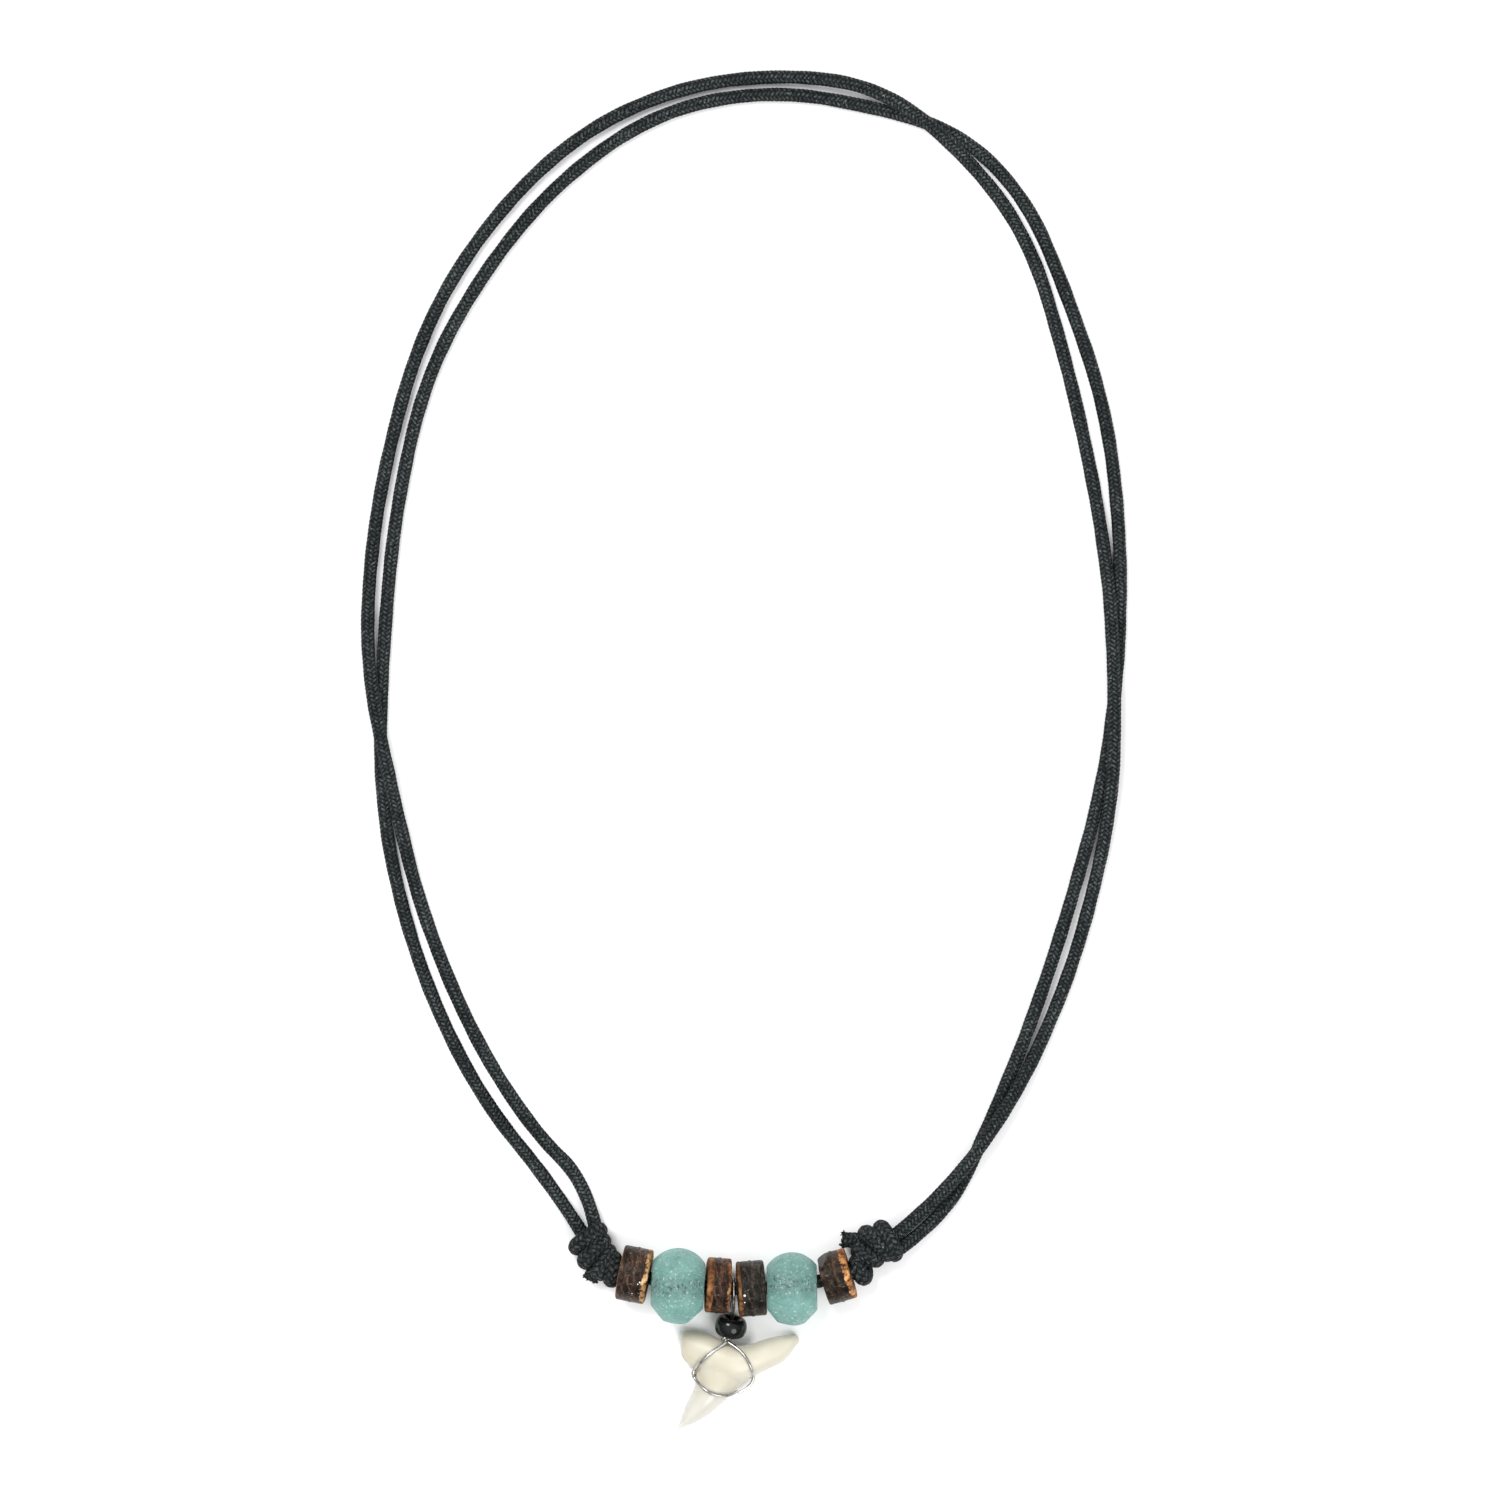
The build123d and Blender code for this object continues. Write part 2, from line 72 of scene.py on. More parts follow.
def mesh_object(name, points, faces, uvs=None, smooth=True):
    """Object from points in millimetres and faces of equal size, with a UV for each face corner."""
    mesh = bpy.data.meshes.new(name)
    places = np.asarray(points, float) * MM
    mesh.from_pydata(places.tolist(), [], np.asarray(faces, np.int32).tolist())
    if uvs is not None:
        layer = mesh.uv_layers.new(name="UVMap")
        layer.data.foreach_set("uv", np.asarray(uvs, np.float32).ravel())
    mesh.polygons.foreach_set("use_smooth", np.full(len(mesh.polygons), smooth))
    mesh.update()
    piece = bpy.data.objects.new(name, mesh)
    bpy.context.scene.collection.objects.link(piece)
    return piece


def smooth_line(points, detail=48):
    """Dense points, in millimetres, of the NURBS spline that has these control points."""
    curve = bpy.data.curves.new("line", "CURVE")
    curve.dimensions = "3D"
    curve.resolution_u = detail
    spline = curve.splines.new("NURBS")
    spline.points.add(len(points) - 1)
    for point, place in zip(spline.points, points):
        point.co = (*[value * MM for value in place], 1.0)
    spline.order_u = 3
    spline.use_endpoint_u = True
    carrier = bpy.data.objects.new("line", curve)
    mesh = bpy.data.meshes.new_from_object(carrier)
    line = np.array([vertex.co for vertex in mesh.vertices], float) / MM
    bpy.data.meshes.remove(mesh)
    bpy.data.objects.remove(carrier)
    bpy.data.curves.remove(curve)
    return line


def evenly(line, step):
    """The same line with points at an even step, and how far along each is."""
    gaps = np.linalg.norm(np.diff(line, axis=0), axis=1)
    line = line[np.concatenate([[True], gaps > SAME_PLACE])]
    gaps = np.linalg.norm(np.diff(line, axis=0), axis=1)
    reached = np.concatenate([[0.0], np.cumsum(gaps)])
    count = max(2, int(ceil(reached[-1] / step)) + 1)
    along = np.linspace(0.0, reached[-1], count)
    even = np.stack([np.interp(along, reached, line[:, axis]) for axis in range(3)], axis=1)
    return even, along


def carried_frames(line):
    """Two directions across a line that turn as little as they can along it."""
    tangents = np.gradient(line, axis=0)
    tangents /= np.linalg.norm(tangents, axis=1)[:, None]
    across = np.zeros_like(line)
    start = np.cross(tangents[0], (0.0, 0.0, 1.0))
    if np.linalg.norm(start) < NEARLY_UPRIGHT:
        start = np.cross(tangents[0], (0.0, 1.0, 0.0))
    across[0] = start / np.linalg.norm(start)
    for index in range(1, len(line)):
        before = across[index - 1]
        side = before - tangents[index] * np.dot(before, tangents[index])
        across[index] = side / np.linalg.norm(side)
    return across, np.cross(tangents, across)


# Yarns each way round the braid, and the length in which a yarn goes round once
YARNS = 8
YARN_TURN = 4.8
# Lift of the yarn on top, and the braid's height that counts as the cord's own surface
TOP_LIFT = 0.9
MEAN_HEIGHT = 0.15
# Depth of the braid on loose cord and on tight wraps
RELIEF = 0.13
WRAP_RELIEF = 0.09
TUBE_SIDES = 32
TUBE_STEP = 0.155


def braid_height(around, along):
    """Height of the braid's surface: two families of yarns, each over two and under two."""
    slant = YARNS * along / YARN_TURN
    turn = YARNS * around
    right = turn + slant
    left = turn - slant
    right_yarn = np.round(right)
    left_yarn = np.round(left)
    right_over = np.cos(pi / 2 * (right_yarn + left) + pi / 4)
    left_over = -np.cos(pi / 2 * (right + left_yarn) + pi / 4)
    right_height = np.cos(pi * (right - right_yarn)) + TOP_LIFT * right_over
    left_height = np.cos(pi * (left - left_yarn)) + TOP_LIFT * left_over
    return np.maximum(right_height, left_height) - 1.0


def tube_arrays(line, diameter, sides, step, relief=0.0):
    """Points, faces and UVs of a closed tube round a line; the UVs count the two families of yarns."""
    even, along = evenly(line, step)
    across, upward = carried_frames(even)
    around = np.linspace(0.0, 1.0, sides, endpoint=False)
    grid_around, grid_along = np.meshgrid(around, along)
    radius = np.full(grid_around.shape, diameter / 2)
    if relief:
        thick_and_thin = 0.022 * np.sin(0.61 * grid_along + 1.7)
        out_of_round = 0.016 * np.sin(1.43 * grid_along + 4 * pi * grid_around)
        braid = braid_height(grid_around, grid_along) - MEAN_HEIGHT
        radius = radius * (1 + (thick_and_thin + out_of_round)) + relief * 0.5 * braid
    angle = 2 * pi * grid_around
    points = (even[:, None, :]
              + (radius * np.cos(angle))[..., None] * across[:, None, :]
              + (radius * np.sin(angle))[..., None] * upward[:, None, :]).reshape(-1, 3)

    ring, side = np.meshgrid(np.arange(len(along) - 1), np.arange(sides), indexing="ij")
    onward = (side + 1) % sides
    corners = [ring * sides + side, ring * sides + onward,
               (ring + 1) * sides + onward, (ring + 1) * sides + side]
    faces = np.stack(corners, axis=-1).reshape(-1, 4)
    turn = YARNS * np.stack([side, side + 1, side + 1, side], axis=-1).reshape(-1, 4) / sides
    reach = [along[ring], along[ring], along[ring + 1], along[ring + 1]]
    slant = YARNS * np.stack(reach, axis=-1).reshape(-1, 4) / YARN_TURN
    uvs = np.stack([turn + slant, turn - slant], axis=-1)

    caps = []
    for hub, first in ((len(points), 0), (len(points) + 1, len(points) - sides)):
        for corner in range(0, sides, 2):
            fan = [hub, first + corner, first + corner + 1, first + (corner + 2) % sides]
            caps.append(fan if first else fan[:1] + fan[:0:-1])
    cap_uvs = np.repeat(uvs[-1:], len(caps), axis=0)
    points = np.vstack([points, even[:1], even[-1:]])
    return points, np.vstack([faces, caps]), np.concatenate([uvs, cap_uvs])


def join_arrays(parts):
    """One set of points, faces and UVs from several."""
    points, faces, uvs = [], [], []
    base = 0
    for part_points, part_faces, part_uvs in parts:
        points.append(part_points)
        faces.append(part_faces + base)
        uvs.append(part_uvs)
        base += len(part_points)
    return np.vstack(points), np.vstack(faces), np.concatenate(uvs)


def ring_faces(turns, steps):
    """Faces of a grid of points that closes on itself both ways."""
    turn, step = np.meshgrid(np.arange(turns), np.arange(steps), indexing="ij")
    on, up = (turn + 1) % turns, (step + 1) % steps
    corners = [turn * steps + step, on * steps + step, on * steps + up, turn * steps + up]
    return np.stack(corners, axis=-1).reshape(-1, 4)


def bead_frame(middle, axis):
    """Matrix of a bead's own space: Z along the hole and X upwards."""
    along = Vector(axis).normalized()
    upward = (Vector((0, 0, 1)) - along * along.z).normalized()
    across = along.cross(upward)
    rotation = Matrix((upward, across, along)).transposed().to_4x4()
    return Matrix.Translation(Vector(middle) * MM) @ rotation


def worn_copy(source, name, voxel, rounds, height_rounds=0):
    """A node's shape remeshed into an even skin, with its edges worn round and its heights evened out."""
    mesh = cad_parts[source].data.copy()
    mesh.materials.clear()
    piece = bpy.data.objects.new(name, mesh)
    bpy.context.scene.collection.objects.link(piece)
    remesh = piece.modifiers.new("skin", "REMESH")
    remesh.mode = "VOXEL"
    remesh.voxel_size = voxel * MM
    remesh.use_smooth_shade = True
    wear = piece.modifiers.new("wear", "SMOOTH")
    wear.factor = 0.5
    wear.iterations = rounds
    level = piece.modifiers.new("level", "SMOOTH")
    level.use_x = False
    level.use_y = False
    level.factor = 0.5
    level.iterations = height_rounds
    bpy.context.view_layer.update()
    evaluated = piece.evaluated_get(bpy.context.evaluated_depsgraph_get())
    made = bpy.data.meshes.new_from_object(evaluated)
    piece.modifiers.clear()
    piece.data = made
    made.name = name
    bpy.data.meshes.remove(mesh)
    return piece


# Material helpers: colours are linear, and a noise's scale counts its features to a metre or a UV

def new_material(name):
    """A material with its node tree and its main shader."""
    material = bpy.data.materials.new(name)
    material.use_nodes = True
    return material, material.node_tree, material.node_tree.nodes["Principled BSDF"]


def set_inputs(shader, **values):
    """Fixed values of a shader's inputs, with underscores for the spaces in their names."""
    for name, value in values.items():
        shader.inputs[name.replace("_", " ")].default_value = value


def own_space(tree):
    """A piece's own coordinates in metres, whole and split into axes."""
    place = tree.nodes.new("ShaderNodeTexCoord").outputs["Object"]
    axes = tree.nodes.new("ShaderNodeSeparateXYZ")
    tree.links.new(place, axes.inputs["Vector"])
    return place, axes.outputs


def noise(tree, vector, scale, detail=3.0, roughness=0.55, distortion=0.0):
    """Soft noise from 0 to 1."""
    made = tree.nodes.new("ShaderNodeTexNoise")
    made.inputs["Scale"].default_value = scale
    made.inputs["Detail"].default_value = detail
    made.inputs["Roughness"].default_value = roughness
    made.inputs["Distortion"].default_value = distortion
    tree.links.new(vector, made.inputs["Vector"])
    return made.outputs["Fac"]


def stretched(tree, vector, scale):
    """Coordinates scaled by axis."""
    made = tree.nodes.new("ShaderNodeMapping")
    made.inputs["Scale"].default_value = scale
    tree.links.new(vector, made.inputs["Vector"])
    return made.outputs["Vector"]


def ramp(tree, value, *stops, tint=1.0):
    """Colours between stops of (place, colour), all scaled by a tint."""
    made = tree.nodes.new("ShaderNodeValToRGB")
    elements = made.color_ramp.elements
    while len(elements) < len(stops):
        elements.new(0.5)
    for element, (place, colour) in zip(elements, stops):
        element.position = place
        element.color = (*np.multiply(colour, tint), 1.0)
    tree.links.new(value, made.inputs["Fac"])
    return made.outputs["Color"]


def levels(tree, value, low, high, to_low=0.0, to_high=1.0):
    """Smooth step from one number to another while a value goes from low to high."""
    made = tree.nodes.new("ShaderNodeMapRange")
    made.interpolation_type = "SMOOTHSTEP"
    tree.links.new(value, made.inputs["Value"])
    for name, number in (("From Min", low), ("From Max", high), ("To Min", to_low), ("To Max", to_high)):
        made.inputs[name].default_value = number
    return made.outputs["Result"]


def blend_colours(tree, share, first, second):
    """Mix of a colour socket with another or with a fixed colour; the share is a socket."""
    made = tree.nodes.new("ShaderNodeMix")
    made.data_type = "RGBA"
    tree.links.new(share, made.inputs["Factor"])
    for name, colour in (("A", first), ("B", second)):
        socket = [entry for entry in made.inputs if entry.name == name and entry.type == "RGBA"][0]
        if isinstance(colour, bpy.types.NodeSocket):
            tree.links.new(colour, socket)
        else:
            socket.default_value = (*colour, 1.0)
    return [entry for entry in made.outputs if entry.type == "RGBA"][0]


def blend_numbers(tree, share, first, second):
    """Mix of two numbers; all three are sockets."""
    made = tree.nodes.new("ShaderNodeMix")
    made.data_type = "FLOAT"
    tree.links.new(share, made.inputs["Factor"])
    tree.links.new(first, made.inputs["A"])
    tree.links.new(second, made.inputs["B"])
    return made.outputs["Result"]


def maths(tree, operation, *values):
    """A maths node of sockets and numbers."""
    made = tree.nodes.new("ShaderNodeMath")
    made.operation = operation
    for socket, value in zip(made.inputs, values):
        if isinstance(value, bpy.types.NodeSocket):
            tree.links.new(value, socket)
        else:
            socket.default_value = value
    return made.outputs["Value"]


def plus(tree, first, second):
    return maths(tree, "ADD", first, second)


def minus(tree, first, second):
    return maths(tree, "SUBTRACT", first, second)


def times(tree, first, second):
    return maths(tree, "MULTIPLY", first, second)


def away_from(tree, value, place):
    """How far a value is from a place, either way."""
    return maths(tree, "ABSOLUTE", minus(tree, value, place))


def weighted(tree, *parts):
    """Sum of sockets, each times its weight."""
    total = 0.0
    for socket, weight in parts:
        total = plus(tree, total, times(tree, socket, weight))
    return total


def strays(tree, vector, reach, *settings):
    """Uneven offset within half the reach to each side."""
    return times(tree, minus(tree, noise(tree, vector, *settings), 0.5), reach)


def painted(tree, colour, *layers):
    """A colour under layers of (mask, share, fixed colour), the lowest first."""
    for mask, share, paint in layers:
        colour = blend_colours(tree, times(tree, mask, share), colour, paint)
    return colour


def near(tree, place, middle, radius):
    """Mask that is one within a small radius of a place."""
    away = tree.nodes.new("ShaderNodeVectorMath")
    away.operation = "DISTANCE"
    tree.links.new(place, away.inputs[0])
    away.inputs[1].default_value = tuple(value * MM for value in middle)
    return levels(tree, away.outputs["Value"], radius * 0.7 * MM, radius * 1.2 * MM, 1.0, 0.0)


def bump(tree, shader, height, strength, distance):
    """Fine relief, with its distance in millimetres."""
    made = tree.nodes.new("ShaderNodeBump")
    made.inputs["Strength"].default_value = strength
    made.inputs["Distance"].default_value = distance * MM
    tree.links.new(height, made.inputs["Height"])
    tree.links.new(made.outputs["Normal"], shader.inputs["Normal"])


# Cord

def braid_nodes(tree, uv):
    """The braid's height and whether the left family lies on top, from the UVs as in braid_height."""
    def cosine(value, scale, start):
        return maths(tree, "COSINE", maths(tree, "MULTIPLY_ADD", value, scale, start))

    split = tree.nodes.new("ShaderNodeSeparateXYZ")
    tree.links.new(uv, split.inputs["Vector"])
    right, left = split.outputs["X"], split.outputs["Y"]
    right_yarn = maths(tree, "ROUND", right)
    left_yarn = maths(tree, "ROUND", left)
    right_over = cosine(plus(tree, right_yarn, left), pi / 2, pi / 4)
    left_over = cosine(plus(tree, right, left_yarn), pi / 2, pi / 4)
    right_round = cosine(minus(tree, right, right_yarn), pi, 0.0)
    left_round = cosine(minus(tree, left, left_yarn), pi, 0.0)
    right_height = plus(tree, right_round, times(tree, right_over, TOP_LIFT))
    left_height = minus(tree, left_round, times(tree, left_over, TOP_LIFT))
    height = maths(tree, "MAXIMUM", right_height, left_height)
    return height, maths(tree, "GREATER_THAN", left_height, right_height)


def cord_material(name, shade, crown_lift_and_shade_share, streak_share, fineness):
    """Black waxed cotton braid: lighter on the yarns' crowns, partly wear and partly painted highlight,
    with painted shade in the hollows between them, and pale fibres.
    """
    material, tree, shader = new_material(name)
    coords = tree.nodes.new("ShaderNodeTexCoord")
    uv = coords.outputs["UV"]
    place = coords.outputs["Object"]
    height, left_on_top = braid_nodes(tree, uv)
    streak_right = noise(tree, stretched(tree, uv, (5.5, 0.8, 1.0)), fineness, 2.0)
    streak_left = noise(tree, stretched(tree, uv, (0.8, 5.5, 1.0)), fineness, 2.0)
    streaks = blend_numbers(tree, left_on_top, streak_right, streak_left)
    # Painted shade and highlight: the braid's height makes the hollows between yarns darker and the crowns
    # lighter
    crown_lift_and_shade = levels(tree, height, 0.1, 1.8)
    mottle = noise(tree, uv, 0.95, 2.0, 0.6)
    patches = noise(tree, place, 190.0, 2.0)
    tone = weighted(tree, (crown_lift_and_shade, crown_lift_and_shade_share), (streaks, streak_share), (mottle, 0.55), (patches, 0.20))
    base = ramp(tree, tone, (0.60, (0.0022, 0.0030, 0.0034)), (0.82, (0.0070, 0.0090, 0.0094)),
                (1.00, (0.0270, 0.0330, 0.0335)), tint=shade)
    # Light grey where the tone is highest, partly wear and partly painted highlight on the crowns
    wear_and_highlight = levels(tree, tone, 0.97, 1.20)
    flecks = levels(tree, noise(tree, place, 2300.0, 1.0), 0.69, 0.75)
    colour = painted(tree, base, (wear_and_highlight, 1.0, np.multiply((0.125, 0.140, 0.137), shade)),
                     (flecks, 0.8 * shade, (0.17, 0.19, 0.185)))
    tree.links.new(colour, shader.inputs["Base Color"])
    tree.links.new(levels(tree, streaks, 0.35, 0.75, 0.72, 0.50), shader.inputs["Roughness"])
    set_inputs(shader, Specular_IOR_Level=0.06)
    bump(tree, shader, weighted(tree, (height, 1.0), (streaks, 1.4)), 0.55, 0.10)
    return material


WAXED_CORD = cord_material("waxed_cord", 0.82, 0.34, 0.61, 1.0)
# The knots' cord is a darker copy of the same cord, painted shade, with finer yarn lines
SHADED_KNOT_CORD = cord_material("knot_cord_with_painted_shade", 0.66, 0.28, 0.72, 1.5)


# The two strands round the neck, with the same points as their solids

# Loose cord is a little thicker than the solid's cord
SWELL = 1.03
STRAND_LOWER = [
    (-21.111, 12.8, 2.4), (-25.3, 19.46, 0.9), (-35.3, 31.6, 0.9), (-43.1, 47.3, 0.9), (-48.1, 64.4, 0.9),
    (-49.7, 79.5, 0.9), (-49.0, 96.5, 0.9), (-47.4, 114.0, 0.9), (-43.2, 133.0, 0.9), (-34.6, 148.3, 0.9),
    (-24.2, 160.6, 0.9), (-10.4, 170.1, 0.9), (5.5, 173.0, 0.9), (21.0, 170.3, 0.9), (32.3, 166.6, 0.9),
    (41.0, 157.5, 0.9), (46.2, 145.4, 0.9), (51.9, 129.0, 0.9), (54.0, 112.5, 0.9), (54.1, 96.0, 0.9),
    (52.2, 78.0, 0.9), (47.3, 59.5, 0.9), (41.7, 42.5, 0.9), (35.6, 27.8, 0.9), (29.7, 15.2, 0.9),
    (22.42, 10.298, 2.4),
]
STRAND_UPPER = [
    (-19.311, 13.43, 2.4), (-20.7, 20.15, 0.9), (-28.0, 27.1, 0.9), (-36.6, 40.5, 0.9), (-43.8, 58.0, 0.9),
    (-47.4, 73.0, 2.85), (-51.0, 89.5, 2.85), (-51.4, 102.0, 0.9), (-49.4, 118.5, 0.9), (-43.9, 139.0, 0.9),
    (-34.5, 154.5, 0.9), (-22.0, 166.8, 0.9), (-7.5, 173.5, 0.9), (7.5, 175.2, 0.9), (20.6, 173.2, 2.85),
    (31.7, 164.6, 2.85), (41.2, 152.5, 0.9), (46.5, 135.0, 0.9), (49.9, 120.0, 0.9), (51.7, 109.5, 0.9),
    (52.9, 99.0, 2.85), (53.4, 79.0, 2.85), (51.7, 66.5, 0.9), (47.8, 51.5, 0.9), (43.0, 39.5, 0.9),
    (38.1, 30.2, 2.85), (29.9, 18.8, 2.85), (22.024, 12.26, 2.4),
]


def strand(name, points):
    """A strand of the braided cord along its route."""
    line = smooth_line(points)
    arrays = tube_arrays(line, SWELL * CORD_D, TUBE_SIDES, TUBE_STEP, RELIEF)
    piece = mesh_object(name + "_braided", *arrays)
    piece.data.materials.append(WAXED_CORD)
    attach(piece, "root")
    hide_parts(name)


strand("cord_strand_lower", STRAND_LOWER)
strand("cord_strand_upper", STRAND_UPPER)


# Knots: wraps of the braided cord round the cords that pass through

# Thickness of a wrap's cord, and how far its line lies inside the wrap's rim in cord diameters
WRAP_D = 1.28 * CORD_D
WRAP_INSET = 0.57
WRAP_POINTS = 40
# Both ends of the winding lie below the knot
START_TURN = 0.75
# Fibres of a cut end: their number, thickness, longest reach, and the shortest as a share of it
FIBRES = 170
FIBRE_D = 0.11
FIBRE_SIDES = 4
FIBRE_STEP = 0.25
FIBRE_REACH = 0.5
SHORTEST_FIBRE = 0.35
# Depth of a fibre's root in the cord, its lean outwards, and how far it strays and kinks
FIBRE_DEPTH = 0.3
FIBRE_LEAN = 0.25
FIBRE_STRAY = 0.12
FIBRE_KINK = 0.05
# Loose thread
THREAD_D = 0.34
THREAD_SIDES = 6
THREAD_STEP = 0.12

# Each wrap's middle, its axis in degrees from X, and its width in cord diameters
LEFT_WRAPS = [
    ((-16.899, 7.886, 3.681), -12, 2.65),
    ((-18.231, 8.966, 3.195), -42, 2.75),
    ((-19.707, 10.478, 3.024), -60, 3.20),
    ((-20.535, 12.494, 2.970), -63, 3.30),
]
RIGHT_WRAPS = [
    ((17.506, 7.58, 3.726), 14, 2.70),
    ((18.514, 10.082, 3.285), 43, 2.75),
    ((19.954, 11.882, 3.249), 34, 3.45),
    ((21.844, 11.972, 2.970), 20, 3.30),
]
LEFT_CORES = [
    [(-15.9, 7.9, 4.4), (-17.6, 8.5, 3.6), (-19.3, 10.0, 2.9), (-20.4, 11.8, 2.6), (-21.111, 12.8, 2.4),
     (-21.4, 13.2, 2.3)],
    [(-16.6, 8.6, 3.3), (-17.9, 9.6, 3.1), (-19.1, 11.2, 2.9), (-19.3, 12.6, 2.6), (-19.311, 13.43, 2.4),
     (-19.35, 13.8, 2.3)],
]
RIGHT_CORES = [
    [(16.3, 7.5, 4.4), (17.8, 8.8, 3.6), (19.2, 10.0, 3.1), (21.0, 10.1, 2.6), (22.42, 10.298, 2.4),
     (22.8, 10.5, 2.3)],
    [(16.9, 8.3, 3.6), (18.4, 10.8, 3.3), (20.0, 12.2, 3.0), (21.3, 12.1, 2.6), (22.024, 12.26, 2.4),
     (22.4, 12.6, 2.4)],
]
LEFT_STUB = [(-17.9, 9.3, 2.7), (-18.7, 9.2, 2.6), (-19.5, 7.95, 2.56), (-20.21, 6.59, 2.5)]
RIGHT_STUB = [(19.9, 12.0, 2.63), (19.1, 11.95, 2.63), (17.6, 12.02, 2.63), (15.27, 12.08, 2.63)]
LEFT_THREAD = [(-19.6, 7.0, 2.6), (-19.3, 6.4, 2.5), (-19.1, 6.0, 2.4)]
RIGHT_THREAD = [(15.6, 11.1, 2.7), (15.1, 11.15, 2.6), (14.75, 11.5, 2.5)]


def wound(wraps, direction):
    """Line of a cord wound once round each wrap's middle, moving on from wrap to wrap."""
    middles = np.array([wrap[0] for wrap in wraps])
    axes = np.array([wrap[1] for wrap in wraps], float)
    reach = np.array([(wrap[2] / 2 - WRAP_INSET) * CORD_D for wrap in wraps])
    at = np.arange(len(wraps)) + 0.5
    line = []
    for turn in np.linspace(0.0, len(wraps), WRAP_POINTS * len(wraps) + 1):
        middle = np.array([np.interp(turn, at, middles[:, axis]) for axis in range(3)])
        swing = radians(np.interp(turn, at, axes))
        radius = np.interp(turn, at, reach)
        side = np.array([-sin(swing), cos(swing), 0.0])
        angle = 2 * pi * (direction * turn + START_TURN)
        line.append(middle + radius * (cos(angle) * side + sin(angle) * np.array([0.0, 0.0, 1.0])))
    return np.array(line)


def frayed_end(tip, direction, radius):
    """Short fibres that stand out of a cut end, as thin four-sided tubes."""
    direction = direction / np.linalg.norm(direction)
    side = np.cross(direction, (0.0, 0.0, 1.0))
    side /= np.linalg.norm(side)
    upward = np.cross(side, direction)
    fibres = []
    for _ in range(FIBRES):
        spot = radius * sqrt(RANDOM.random())
        angle = 2 * pi * RANDOM.random()
        outward = spot * (cos(angle) * side + sin(angle) * upward)
        root = tip + outward * 0.92 - direction * FIBRE_DEPTH
        length = FIBRE_REACH * (SHORTEST_FIBRE + (1 - SHORTEST_FIBRE) * RANDOM.random())
        bend = direction * length + outward * FIBRE_LEAN
        bend = bend + FIBRE_STRAY * RANDOM.normal(size=3)
        middle = root + bend * 0.5 + FIBRE_KINK * RANDOM.normal(size=3)
        fibres.append(tube_arrays(np.array([root, middle, root + bend]), FIBRE_D, FIBRE_SIDES, FIBRE_STEP))
    return fibres


def knot(name, wraps, direction, cores, stub, stub_width, thread):
    """Knot of one wound cord, with the cords through it, its frayed stub and a loose thread."""
    parts = [tube_arrays(wound(wraps, direction), WRAP_D, TUBE_SIDES, TUBE_STEP, WRAP_RELIEF)]
    for core in cores:
        parts.append(tube_arrays(smooth_line(core), CORD_D, TUBE_SIDES, TUBE_STEP, RELIEF))
    stub_d = stub_width * CORD_D
    parts.append(tube_arrays(smooth_line(stub), stub_d, TUBE_SIDES, TUBE_STEP, RELIEF))
    tip = np.array(stub[-1])
    parts += frayed_end(tip, tip - np.array(stub[-2]), 0.48 * stub_d)
    parts.append(tube_arrays(smooth_line(thread), THREAD_D, THREAD_SIDES, THREAD_STEP))
    piece = mesh_object(name + "_braided", *join_arrays(parts))
    piece.data.materials.append(SHADED_KNOT_CORD)
    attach(piece, "root")
    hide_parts(name)


knot("knot_left", LEFT_WRAPS, -1, LEFT_CORES, LEFT_STUB, 1.10, LEFT_THREAD)
knot("knot_right", RIGHT_WRAPS, 1, RIGHT_CORES, RIGHT_STUB, 1.22, RIGHT_THREAD)


# Cord through the beads

BEAD_CORD = [
    (-16.613, 8.106, 4.939), (-9.336, 5.65, 4.939), (9.172, 5.1, 4.939), (17.105, 7.755, 4.939),
]
bead_cord = mesh_object(
    "bead_cord_braided", *tube_arrays(smooth_line(BEAD_CORD), CORD_D, TUBE_SIDES, TUBE_STEP, RELIEF))
bead_cord.data.materials.append(WAXED_CORD)
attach(bead_cord, "root")
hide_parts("bead_cord")


# Coconut shell beads: radius of the hole, rounding of the edges, and the ridge round the middle

SHELL_BORE = 1.7
SHELL_EDGE = 0.30
RIDGE_HEIGHT = 0.13
RIDGE_REACH = 0.28
SHELL_SIDES = 144
# Unevenness of the rim and of the faces, and how much the hole is worn wider at its mouths
RIM_WAVE = 0.035
RIM_GRAIN = 0.012
FACE_WAVE = 0.02
MOUTH_WEAR = 0.05
# Half the width over which the dark skin gives way to a cut edge
CUT_BLUR = 0.06


